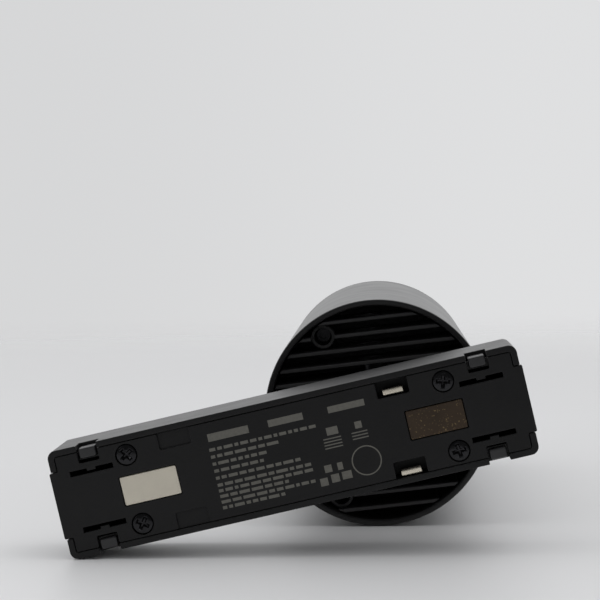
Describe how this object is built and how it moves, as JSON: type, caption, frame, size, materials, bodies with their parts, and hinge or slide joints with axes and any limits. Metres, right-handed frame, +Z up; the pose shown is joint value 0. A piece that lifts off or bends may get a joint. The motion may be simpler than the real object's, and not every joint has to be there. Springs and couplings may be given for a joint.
{
  "type": "track spotlight",
  "caption": "Cylindrical spotlight head on a tilting, swivelling arm, carried by a flat magnetic track adapter with its driver inside.",
  "frame": {"origin": "middle of the footprint, on the surface the spotlight lies on", "axes": "+Y along the head's axis towards the light exit, +Z up, the adapter's track face looks along -Y"},
  "size_m": [0.1186, 0.185, 0.06],
  "materials": {
    "black_plastic": "fine moulded texture",
    "black_paint": "fine-grain matt black powder coat",
    "black_heat_sink": "matt black on die casting",
    "black_steel": "black oxide",
    "steel": "zinc plated",
    "magnet_bright": "nickel plated",
    "magnet_film": "dark plated with a tinted film",
    "contact_metal": "tin plated",
    "circuit_board": "solder mask",
    "ferrite": "sintered",
    "capacitor_sleeve": "shrink sleeve",
    "chip_black": "moulded",
    "white_plastic": "moulded",
    "lead_red": "insulated lead",
    "lead_black": "insulated lead",
    "aluminium": "turned",
    "thermal_pad": "matt",
    "ceramic": "satin",
    "phosphor": "silicone",
    "reflector_mirror": "faceted mirror",
    "clear_glass": "polished",
    "seal_rubber": "matt"
  },
  "bodies": {
    "adapter": {"adapter_housing": "black_plastic", "adapter_cover": "black_plastic", "cover_screw_1": "black_steel", "cover_screw_2": "black_steel", "cover_screw_3": "black_steel", "cover_screw_4": "black_steel", "magnet_left": "magnet_bright", "magnet_right": "magnet_film", "magnet_tray_left": "black_plastic", "magnet_tray_right": "black_plastic", "driver_board": "circuit_board", "contact_block": "black_plastic", "inductor": "ferrite", "capacitor_1": "capacitor_sleeve", "capacitor_2": "capacitor_sleeve", "driver_chip": "chip_black", "lead_terminal": "white_plastic", "lead_red_adapter": "lead_red", "lead_black_adapter": "lead_black"},
    "latch_1": {"latch_upper_left": "black_plastic", "latch_spring_upper_left": "steel"},
    "latch_2": {"latch_upper_right": "black_plastic", "latch_spring_upper_right": "steel"},
    "latch_3": {"latch_lower_left": "black_plastic", "latch_spring_lower_left": "steel"},
    "latch_4": {"latch_lower_right": "black_plastic", "latch_spring_lower_right": "steel"},
    "contact_1": {"contact_positive": "contact_metal"},
    "contact_2": {"contact_negative": "contact_metal"},
    "arm": {"arm": "black_paint", "swivel_stem": "steel", "swivel_washer": "steel", "swivel_nut": "steel", "swivel_ring": "white_plastic", "swivel_stop_pin": "steel"},
    "head": {"head_housing": "black_paint", "heat_sink": "black_heat_sink", "rear_screw_1": "black_steel", "rear_screw_2": "black_steel", "pivot_bolt": "black_steel", "friction_washer_upper": "white_plastic", "friction_washer_lower": "white_plastic", "led_mount": "aluminium", "thermal_pad": "thermal_pad", "led_cob": "ceramic", "led_phosphor": "phosphor", "cob_holder": "white_plastic", "holder_screw_1": "black_steel", "holder_screw_2": "black_steel", "lead_red_head": "lead_red", "lead_black_head": "lead_black", "reflector": "reflector_mirror", "front_glass": "clear_glass", "glass_gasket": "seal_rubber", "front_bezel": "black_paint"}
  },
  "joints": [
    {"name": "swivel", "type": "hinge", "parent": "adapter", "child": "arm", "pos_m": [0.02084, -0.0679, 0.03], "axis": [0, -1, 0], "range_deg": [-158.3, 171.5]},
    {"name": "tilt", "type": "hinge", "parent": "arm", "child": "head", "pos_m": [0.02084, -0.0317, 0.03], "axis": [0.1028, 0, -0.9947], "range_deg": [0, 90]},
    {"name": "latch_1_press", "type": "slide", "parent": "adapter", "child": "latch_1", "axis": [0.2166, 0, -0.9763], "range_m": [0, 0.0008], "stiffness_N_per_m": 1200, "springref_m": -0.001},
    {"name": "latch_2_press", "type": "slide", "parent": "adapter", "child": "latch_2", "axis": [0.2166, 0, -0.9763], "range_m": [0, 0.0008], "stiffness_N_per_m": 1200, "springref_m": -0.001},
    {"name": "latch_3_press", "type": "slide", "parent": "adapter", "child": "latch_3", "axis": [-0.2166, 0, 0.9763], "range_m": [0, 0.0008], "stiffness_N_per_m": 1200, "springref_m": -0.001},
    {"name": "latch_4_press", "type": "slide", "parent": "adapter", "child": "latch_4", "axis": [-0.2166, 0, 0.9763], "range_m": [0, 0.0008], "stiffness_N_per_m": 1200, "springref_m": -0.001},
    {"name": "contact_1_press", "type": "slide", "parent": "adapter", "child": "contact_1", "axis": [0, 1, 0], "range_m": [0, 0.0008], "stiffness_N_per_m": 600, "springref_m": -0.001},
    {"name": "contact_2_press", "type": "slide", "parent": "adapter", "child": "contact_2", "axis": [0, 1, 0], "range_m": [0, 0.0008], "stiffness_N_per_m": 600, "springref_m": -0.001}
  ]
}
